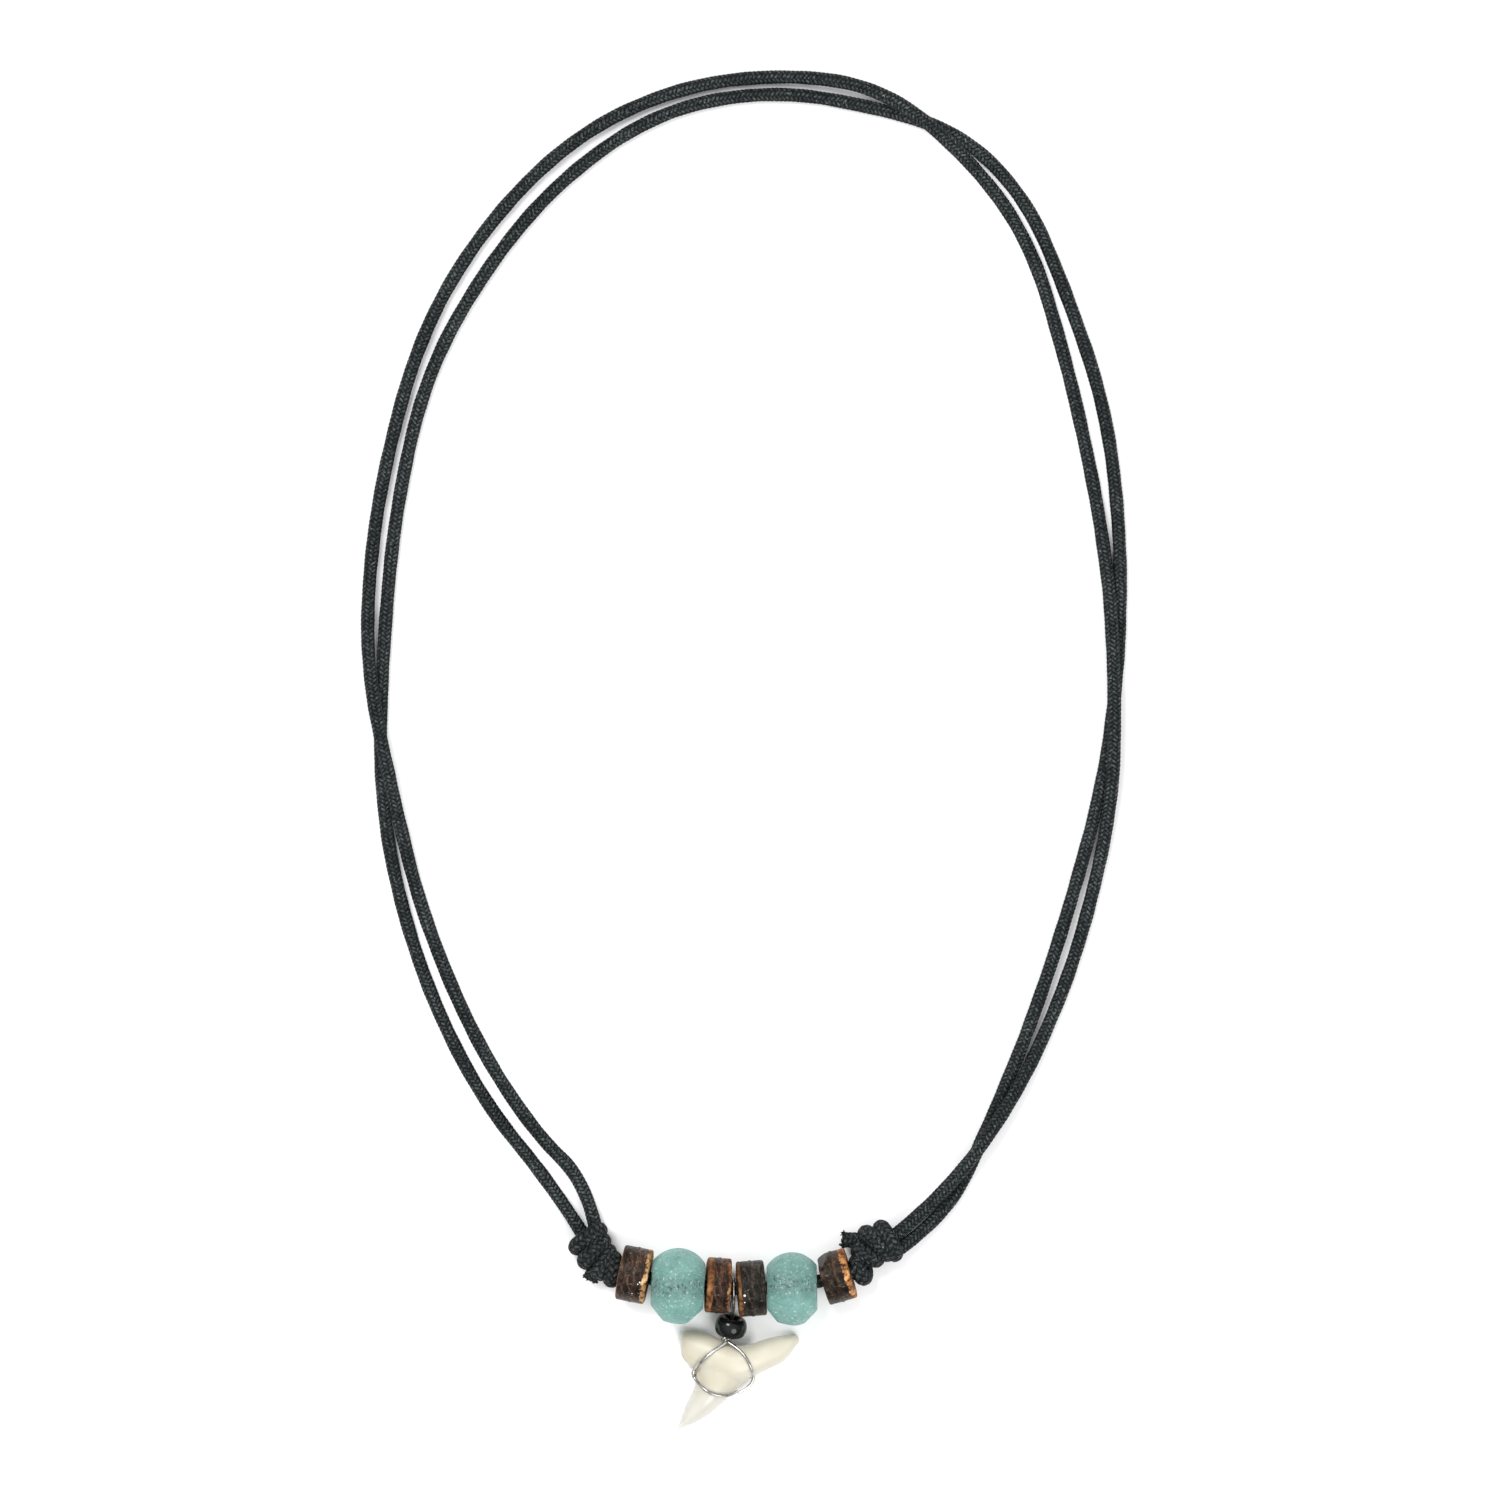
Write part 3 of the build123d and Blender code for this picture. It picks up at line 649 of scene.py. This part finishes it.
def shell_material(name, left_band, right_band, tint, cut_tint, painted_glints):
    """Dark polished shell with tan cut edges; Z of the bead's own space runs along its hole."""
    material, tree, shader = new_material(name)
    place, axes = own_space(tree)
    grain = noise(tree, stretched(tree, place, (1.0, 1.0, 2.6)), 700.0, 6.0, 0.78, 0.5)
    cloud = noise(tree, stretched(tree, place, (0.7, 0.7, 1.5)), 330.0, 3.0, 0.6)
    skin = ramp(tree, weighted(tree, (grain, 0.72), (cloud, 0.30)),
                (0.43, (0.004, 0.003, 0.002)), (0.49, (0.018, 0.012, 0.007)),
                (0.55, (0.052, 0.032, 0.021)), (0.62, (0.140, 0.094, 0.065)), tint=tint)
    scuffed = noise(tree, stretched(tree, place, (1.0, 1.0, 0.35)), 1900.0, 3.0, 0.7)
    scuffs = levels(tree, scuffed, 0.60, 0.70)

    # A broken dark line along the ridge, with a light one beside it
    past_ridge = plus(tree, axes["Z"], strays(tree, place, 0.5 * MM, 420.0, 3.0))
    broken = levels(tree, noise(tree, place, 500.0, 2.0), 0.40, 0.60)
    beside = levels(tree, away_from(tree, past_ridge, 0.20 * MM), 0.03 * MM, 0.18 * MM, 1.0, 0.0)
    on_ridge = levels(tree, away_from(tree, past_ridge, 0.0), 0.03 * MM, 0.15 * MM, 1.0, 0.0)
    skin = painted(tree, skin, (scuffs, 0.60, (0.210, 0.165, 0.130)),
                   (times(tree, beside, broken), 0.16, (0.150, 0.112, 0.090)),
                   (times(tree, on_ridge, broken), 0.55, (0.008, 0.006, 0.005)))

    # Cut edges, from where each band starts along the hole and how it slants
    ragged = plus(tree, axes["Z"], strays(tree, place, 0.9 * MM, 900.0, 4.0, 0.7))
    edges = []
    for (start, slant), inside, outside in ((right_band, 0.0, 1.0), (left_band, 1.0, 0.0)):
        slanted = minus(tree, ragged, times(tree, axes["Y"], slant))
        low, high = (start - CUT_BLUR) * MM, (start + CUT_BLUR) * MM
        edges.append(levels(tree, slanted, low, high, inside, outside))
    rim = maths(tree, "MAXIMUM", *edges)
    pores = levels(tree, noise(tree, place, 1700.0, 3.0, 0.65), 0.40, 0.50)
    flesh = ramp(tree, noise(tree, place, 900.0, 4.0), (0.36, (0.090, 0.033, 0.012)),
                 (0.52, (0.270, 0.120, 0.042)), (0.70, (0.480, 0.262, 0.117)), tint=cut_tint)
    cut = blend_colours(tree, pores, (0.050, 0.021, 0.010), flesh)
    colour = blend_colours(tree, rim, skin, cut)
    # Pale spots of painted highlight, standing in for glints on the shell
    for middle, radius in painted_glints:
        colour = painted(tree, colour, (near(tree, place, middle, radius), 1.0, (0.80, 0.78, 0.72)))
    tree.links.new(colour, shader.inputs["Base Color"])
    tree.links.new(levels(tree, rim, 0.0, 1.0, 0.36, 0.62), shader.inputs["Roughness"])
    set_inputs(shader, Specular_IOR_Level=0.10)
    bump(tree, shader, weighted(tree, (grain, 1.0), (pores, 0.4)), 0.35, 0.12)
    return material


def smooth_wave(angle, seed, orders=5):
    """Gentle unevenness round a bead."""
    source = np.random.default_rng(seed)
    total = np.zeros_like(angle)
    for order in range(1, orders + 1):
        total += source.normal() / order * np.cos(order * angle + 2 * pi * source.random())
    return total


def shell_profile(length, outer):
    """Radii and heights round a shell bead's section, from its hole out over the rim and back."""
    half = length / 2
    shoulder = outer - SHELL_EDGE
    profile = []
    for step in np.linspace(0, 1, 9):
        profile.append((SHELL_BORE + (shoulder - SHELL_BORE) * step, -half))
    for turn in np.linspace(0, pi / 2, 6)[1:]:
        profile.append((shoulder + SHELL_EDGE * sin(turn), -half + SHELL_EDGE * (1 - cos(turn))))
    for step in np.linspace(0, 1, 22)[1:-1]:
        height = SHELL_EDGE - half + (length - 2 * SHELL_EDGE) * step
        ridge = RIDGE_HEIGHT * max(0.0, 1 - abs(height) / RIDGE_REACH)
        profile.append((outer + ridge, height))
    for turn in np.linspace(0, pi / 2, 6)[:-1]:
        profile.append((shoulder + SHELL_EDGE * cos(turn), half - SHELL_EDGE * (1 - sin(turn))))
    for step in np.linspace(1, 0, 9):
        profile.append((SHELL_BORE + (shoulder - SHELL_BORE) * step, half))
    for step in np.linspace(1, -1, 9)[1:-1]:
        profile.append((SHELL_BORE - MOUTH_WEAR + MOUTH_WEAR * abs(step) ** 4, half * step))
    return np.array(profile)


def shell_bead(name, length, width, middle, axis, seed, cuts=(), **looks):
    """Disc of shell with a broken edge, a ridge round its middle and a worn hole."""
    profile = shell_profile(length, width / 2)
    angle = np.linspace(0, 2 * pi, SHELL_SIDES, endpoint=False)
    radius = profile[:, 0] * np.ones((SHELL_SIDES, 1))
    height = profile[:, 1] * np.ones((SHELL_SIDES, 1))
    share = (radius - SHELL_BORE) / (width / 2 - SHELL_BORE)
    from_hole = np.clip(share, 0, 1)
    radius = radius + from_hole * RIM_WAVE * smooth_wave(angle, seed)[:, None]
    radius = radius + from_hole * RIM_GRAIN * RANDOM.normal(size=radius.shape)
    outward = np.where(height > 0, 1, -1)
    height = height + outward * share * FACE_WAVE * smooth_wave(angle, seed + 1)[:, None]
    turns = angle[:, None]
    points = np.stack([radius * np.cos(turns), radius * np.sin(turns), height], axis=-1).reshape(-1, 3)
    for normal, depth in cuts:
        normal = np.array(normal) / np.linalg.norm(normal)
        past = np.clip(points @ normal - depth, 0, None)
        points = points - past[:, None] * normal
    piece = mesh_object(name, points, ring_faces(SHELL_SIDES, len(profile)))
    piece.matrix_world = bead_frame(middle, axis)
    piece.data.materials.append(shell_material(name + "_shell", **looks))
    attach(piece, "root")
    return piece


# Bands: where each cut edge starts along the hole and its slant; tints: of the dark skin and the cut edges
# Cuts: the direction and depth of a flat; painted glints: the place and radius of a pale spot of painted
# highlight
SHELL_BEADS = {
    "coco_bead_1": dict(
        length=4.10, width=7.7, middle=(-13.913, 7.194, 4.354), axis=(0.980, -0.191, 0.052), seed=3,
        left_band=(-1.98, 0.0), right_band=(1.42, 0.0),
        tint=(0.92, 0.84, 0.90), cut_tint=(1.32, 1.70, 2.10),
        painted_glints=[((3.76, 0.75, 1.12), 0.12), ((3.68, 1.05, 0.90), 0.09), ((2.92, 2.55, 0.32), 0.10)]),
    "coco_bead_2": dict(
        length=3.36, width=7.7, middle=(-2.231, 5.739, 4.316), axis=(0.996, -0.070, -0.052), seed=5,
        left_band=(-0.78, 0.0), right_band=(1.30, 0.030),
        tint=(0.90, 0.66, 0.60), cut_tint=(0.66, 0.62, 0.60),
        painted_glints=[]),
    "coco_bead_3": dict(
        length=3.87, width=7.7, middle=(2.424, 5.301, 4.342), axis=(0.997, 0.070, -0.035), seed=8,
        left_band=(-1.42, 0.035), right_band=(1.98, 0.0),
        tint=(0.42, 0.54, 0.62), cut_tint=(0.50, 0.50, 0.50),
        painted_glints=[((3.76, 0.81, -1.12), 0.17), ((3.41, 1.79, -1.15), 0.11)]),
    "coco_bead_4": dict(
        length=4.06, width=7.16, middle=(14.339, 7.044, 4.352), axis=(0.960, 0.275, 0.052), seed=13,
        left_band=(-1.98, 0.0), right_band=(1.22, 0.035),
        tint=(0.60, 0.56, 0.50), cut_tint=(1.42, 1.40, 1.40),
        cuts=[((0.25, -0.74, -0.62), 3.02)], painted_glints=[]),
}
for source, facts in SHELL_BEADS.items():
    bead = shell_bead(source + "_worn", **facts)
    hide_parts(source)


# Glass beads: the solid's own faceted shape with its edges worn round

def glass_material(name, hole_y, paleness):
    """Tumbled sea glass: milky teal with white pits, painted shade in a band round the hole where the dark
    cord shows through, and dust in the hole that shows as dark specks.
    """
    material, tree, shader = new_material(name)
    place, axes = own_space(tree)
    cloud = noise(tree, place, 330.0, 5.0, 0.65)
    base = ramp(tree, cloud, (0.30, (0.155, 0.370, 0.325)), (0.52, (0.215, 0.470, 0.420)),
                (0.75, (0.305, 0.590, 0.535)), tint=paleness)
    off_hole = away_from(tree, axes["Y"], hole_y * MM)
    # Painted shade: a darker band round the hole, standing in for the dark cord seen through the glass
    cord_show_through_shade = levels(tree, off_hole, 0.8 * MM, 3.6 * MM, 1.0, 0.0)
    near_hole = levels(tree, off_hole, 0.4 * MM, 1.9 * MM, 1.0, 0.0)
    dust = levels(tree, noise(tree, place, 620.0, 5.0, 0.7), 0.36, 0.66)
    mottle = levels(tree, noise(tree, place, 1300.0, 4.0, 0.8), 0.36, 0.66)
    scratched = noise(tree, stretched(tree, place, (1.0, 2.6, 1.0)), 1500.0, 4.0, 0.75, 1.2)
    scratches = levels(tree, scratched, 0.56, 0.68)
    dim = levels(tree, noise(tree, place, 1900.0, 4.0, 0.75), 0.52, 0.64)
    pits = levels(tree, noise(tree, place, 2500.0, 1.0), 0.62, 0.70)
    grit = levels(tree, noise(tree, place, 2400.0, 3.0, 0.7), 0.555, 0.615)
    colour = painted(
        tree, base,
        (cord_show_through_shade, 0.80, (0.125, 0.285, 0.250)),
        (times(tree, near_hole, dust), 0.60, (0.125, 0.190, 0.172)),
        (mottle, 0.42, (0.36, 0.62, 0.57)),
        (scratches, 0.65, (0.56, 0.77, 0.72)),
        (dim, 0.34, (0.095, 0.235, 0.208)),
        (pits, 0.80, (0.70, 0.86, 0.82)),
        (times(tree, grit, near_hole), 1.0, (0.040, 0.100, 0.096)),
    )
    tree.links.new(colour, shader.inputs["Base Color"])
    tree.links.new(levels(tree, cloud, 0.3, 0.8, 0.46, 0.60), shader.inputs["Roughness"])
    set_inputs(shader, Transmission_Weight=0.50, IOR=1.45, Subsurface_Weight=0.2,
               Subsurface_Radius=(0.0012, 0.0020, 0.0019), Subsurface_Scale=1.0)
    fine = noise(tree, place, 3600.0, 2.0)
    bump(tree, shader, plus(tree, fine, plus(tree, pits, scratches)), 0.3, 0.10)
    return material


GLASS_VOXEL = 0.11
GLASS_WEAR = 10
# Where each bead's hole lies in Y, and how pale its glass is
GLASS_BEADS = {"glass_bead_1": (5.6, 1.12), "glass_bead_2": (6.2, 1.0)}
for source, (hole_y, paleness) in GLASS_BEADS.items():
    bead = worn_copy(source, source + "_worn", GLASS_VOXEL, GLASS_WEAR)
    bead.data.materials.append(glass_material(source + "_frosted", hole_y, paleness))
    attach(bead, "root")
    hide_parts(source)


# Black glass bead: a pinched seed bead, whose upper mouth is tilted up

BLACK_MIDDLE = (-0.432, -0.077, 2.25)
BLACK_AXIS = (0.167, 0.947, 0.276)
BLACK_RADIUS = 2.25
BLACK_BORE = 0.60
BLACK_HALF_LENGTH = 1.35


def black_material():
    """Glossy black glass, a little uneven."""
    material, tree, shader = new_material("black_glass")
    place, _ = own_space(tree)
    cloud = noise(tree, place, 700.0, 2.0)
    colour = ramp(tree, cloud, (0.3, (0.002, 0.003, 0.0025)), (0.8, (0.007, 0.009, 0.0075)))
    tree.links.new(colour, shader.inputs["Base Color"])
    tree.links.new(levels(tree, cloud, 0.3, 0.8, 0.05, 0.14), shader.inputs["Roughness"])
    set_inputs(shader, IOR=1.52, Specular_IOR_Level=0.24)
    bump(tree, shader, cloud, 0.15, 0.2)
    return material


def oval_ring(outer, bore, half, turns=96, steps=48):
    """Points and faces of a ring of oval section."""
    wall = (outer - bore) / 2
    turn = 2 * pi * np.arange(turns)[:, None] / turns
    step = 2 * pi * np.arange(steps)[None, :] / steps
    reach = bore + wall + wall * np.cos(step)
    height = half * np.sin(step) * np.ones((turns, 1))
    points = np.stack([reach * np.cos(turn), reach * np.sin(turn), height], axis=-1)
    return points.reshape(-1, 3), ring_faces(turns, steps)


black_bead = mesh_object("black_bead_glossy", *oval_ring(BLACK_RADIUS, BLACK_BORE, BLACK_HALF_LENGTH))
black_bead.matrix_world = bead_frame(BLACK_MIDDLE, BLACK_AXIS)
black_bead.data.materials.append(black_material())
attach(black_bead, "root")
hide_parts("black_bead")


# Tooth: the voxel of its skin, rounds of wear and of evening its heights, and its nutrient pit

TOOTH_VOXEL = 0.12
TOOTH_WEAR = 12
TOOTH_LEVELLING = 150
FORAMEN = (-1.47, -4.97, 4.0)
FORAMEN_RADIUS = 0.16


def tooth_material():
    """Smooth ivory root and a paler, glossier blade with a thin edge and faint lines along it."""
    material, tree, shader = new_material("tooth")
    place, axes = own_space(tree)
    across, along = axes["X"], axes["Y"]
    wander = strays(tree, place, 1.2 * MM, 300.0, 2.0)
    reach = weighted(tree, (along, 1.0), (across, 0.12), (wander, 1.0))
    blade = levels(tree, reach, -11.2 * MM, -8.0 * MM, 1.0, 0.0)
    root = ramp(tree, noise(tree, place, 200.0, 4.0), (0.30, (0.494, 0.454, 0.358)),
                (0.55, (0.534, 0.506, 0.412)), (0.80, (0.566, 0.546, 0.464)))
    enamel = ramp(tree, noise(tree, stretched(tree, place, (2.5, 0.6, 1.0)), 260.0, 3.0),
                  (0.30, (0.530, 0.515, 0.460)), (0.70, (0.568, 0.560, 0.512)))
    colour = blend_colours(tree, blade, root, enamel)

    # Distance from the blade's left edge, which runs straight down to the point
    from_edge = plus(tree, across, plus(tree, times(tree, along, -0.5), 2.2 * MM))
    thin = levels(tree, from_edge, 0.3 * MM, 1.0 * MM, 1.0, 0.0)
    colour = painted(tree, colour, (times(tree, blade, thin), 0.6, (0.60, 0.60, 0.57)))
    for offset in (0.45 * MM, 1.05 * MM):
        line = levels(tree, away_from(tree, from_edge, offset), 0.03 * MM, 0.16 * MM, 1.0, 0.0)
        colour = painted(tree, colour, (times(tree, blade, line), 0.30, (0.50, 0.50, 0.46)))
    pit = near(tree, place, FORAMEN, FORAMEN_RADIUS)
    colour = painted(tree, colour, (pit, 0.5, (0.50, 0.46, 0.35)))
    tree.links.new(colour, shader.inputs["Base Color"])
    tree.links.new(levels(tree, blade, 0.0, 1.0, 0.42, 0.20), shader.inputs["Roughness"])
    set_inputs(shader, Subsurface_Weight=0.45, Subsurface_Radius=(0.0016, 0.0014, 0.0012),
               Subsurface_Scale=1.0)
    bump(tree, shader, noise(tree, place, 1500.0, 3.0), 0.06, 0.08)
    return material


tooth = worn_copy("shark_tooth", "shark_tooth_worn", TOOTH_VOXEL, TOOTH_WEAR, TOOTH_LEVELLING)
tooth.data.materials.append(tooth_material())
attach(tooth, "root")
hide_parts("shark_tooth")


# Wire

# Loop over the cord, with both legs down into the black bead
LOOP = [
    (-0.70, -1.60, 1.95), (-0.432, -0.077, 2.46), (-0.20, 1.22, 2.83), (-0.06, 2.70, 4.30),
    (-0.032, 3.911, 5.816), (-0.032, 5.023, 6.249), (-0.032, 6.661, 6.226), (-0.032, 6.661, 3.652),
    (-0.10, 4.672, 3.476), (-0.42, 2.70, 3.00), (-0.36, 1.20, 2.42), (-0.432, -0.077, 2.04),
    (-0.70, -1.60, 1.60),
]
# Outer turn: down the left of the tooth, behind it and up its right side
OUTER_TURN = [
    (-1.05, -2.228, 3.5), (-3.415, -3.771, 4.18), (-4.818, -5.167, 3.5), (-5.494, -6.139, 1.75),
    (-5.94, -6.844, 1.036), (-4.999, -7.07, 0.241), (1.848, -7.267, 0.241), (2.772, -7.056, 1.554),
    (2.673, -6.633, 3.552), (2.327, -5.59, 4.33), (1.617, -4.18, 4.42), (0.363, -2.925, 3.75),
    (-0.82, -2.228, 3.5),
]
# Lower arc in front of the blade, hooked at the left and cut short at the right
LOWER_ARC = [
    (-5.50, -5.95, 1.9), (-5.72, -6.45, 1.75), (-5.74, -6.90, 1.7), (-5.45, -7.50, 1.75),
    (-3.976, -9.086, 3.1), (-2.013, -9.791, 2.82), (-0.33, -9.70, 1.9), (0.52, -9.05, 1.75),
]
# End of the outer turn, which passes under the cut end
LAST_END = [
    (2.72, -6.90, 1.50), (2.72, -7.60, 1.35), (2.178, -8.395, 1.20), (1.30, -9.10, 1.15),
    (0.55, -9.40, 1.15),
]
# Ends of the twist below the black bead, and of the turns of the wire's tail round it
FOOT = (-0.70, -1.56, 1.80)
NECK = (-0.957, -2.15, 3.45)
TAIL_START = (-1.25, -1.55, 2.9)
TAIL_END = (-1.05, -2.05, 3.3)
TAIL_D = 0.8 * WIRE_D
WIRE_SIDES = 16
WIRE_STEP = 0.10
TWIST_SIDES = 12
TWIST_STEP = 0.08
TWIST_POINTS = 24


def wire_material():
    """Drawn silver wire, a little tarnished."""
    material, tree, shader = new_material("silver_wire")
    place, _ = own_space(tree)
    drawn = noise(tree, place, 1600.0, 2.0)
    colour = ramp(tree, drawn, (0.3, (0.30, 0.295, 0.27)), (0.8, (0.50, 0.49, 0.465)))
    tree.links.new(colour, shader.inputs["Base Color"])
    tree.links.new(levels(tree, drawn, 0.3, 0.8, 0.24, 0.36), shader.inputs["Roughness"])
    set_inputs(shader, Metallic=1.0)
    bump(tree, shader, drawn, 0.1, 0.05)
    return material


def twisted(start, end, radius, turns, phase):
    """Line of one wire of a twist between two places."""
    start, end = np.array(start), np.array(end)
    along = (end - start) / np.linalg.norm(end - start)
    side = np.cross(along, (1.0, 0.0, 0.0))
    side /= np.linalg.norm(side)
    other = np.cross(along, side)
    line = []
    for share in np.linspace(0, 1, int(TWIST_POINTS * turns) + 2):
        angle = 2 * pi * (turns * share + phase)
        line.append(start + (end - start) * share + radius * (cos(angle) * side + sin(angle) * other))
    return np.array(line)


runs = [tube_arrays(smooth_line(run, detail=16), WIRE_D, WIRE_SIDES, WIRE_STEP)
        for run in (LOOP, OUTER_TURN, LOWER_ARC, LAST_END)]
for phase in (0.0, 0.5):
    twist = twisted(FOOT, NECK, radius=0.55 * WIRE_D, turns=1.25, phase=phase)
    runs.append(tube_arrays(twist, WIRE_D, TWIST_SIDES, TWIST_STEP))
tail = twisted(TAIL_START, TAIL_END, radius=0.42, turns=1.6, phase=0.3)
runs.append(tube_arrays(tail, TAIL_D, TWIST_SIDES, TWIST_STEP))
wire = mesh_object("pendant_wire_bent", *join_arrays(runs))
wire.data.materials.append(wire_material())
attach(wire, "root")
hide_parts("pendant_wire")


# Floor

FLOOR_REACH = 4000
floor_corners = [(x * FLOOR_REACH, y * FLOOR_REACH, 0) for x, y in ((-1, -1), (1, -1), (1, 1), (-1, 1))]
floor = mesh_object("floor", floor_corners, [(0, 1, 2, 3)], smooth=False)
pale_floor, _, floor_shader = new_material("pale_floor")
set_inputs(floor_shader, Base_Color=(0.93, 0.93, 0.93, 1.0), Roughness=0.9, Specular_IOR_Level=0.1)
floor.data.materials.append(pale_floor)


# Light

LIGHT_TARGET = (2.24, 60.0, 0.0)


def soft_light(name, place, size, power):
    """A round lamp that faces the necklace, with its size in metres and its power in watts."""
    lamp = bpy.data.lights.new(name, "AREA")
    lamp.shape = "DISK"
    lamp.size = size
    lamp.energy = power
    holder = bpy.data.objects.new(name, lamp)
    bpy.context.scene.collection.objects.link(holder)
    holder.location = Vector(place) * MM
    aim = Vector(LIGHT_TARGET) * MM - holder.location
    holder.rotation_euler = aim.to_track_quat("-Z", "Y").to_euler()


soft_light("key_light", (-450, 650, 1250), 0.6, 15.0)
soft_light("fill_light", (500, -700, 1050), 0.9, 12.0)

# Bright overhead and dimmer towards the horizon, so that edges of glossy pieces darken
world = bpy.data.worlds.new("studio")
world.use_nodes = True
sky = world.node_tree
direction = sky.nodes.new("ShaderNodeTexCoord").outputs["Generated"]
upwards = sky.nodes.new("ShaderNodeSeparateXYZ")
sky.links.new(direction, upwards.inputs["Vector"])
shade = ramp(sky, upwards.outputs["Z"], (0.05, (0.15, 0.15, 0.15)), (0.45, (0.40, 0.40, 0.40)),
             (0.85, (1.0, 1.0, 1.0)))
sky.links.new(shade, sky.nodes["Background"].inputs["Color"])
sky.nodes["Background"].inputs["Strength"].default_value = 1.05
bpy.context.scene.world = world
bpy.context.scene.view_settings.view_transform = "Standard"
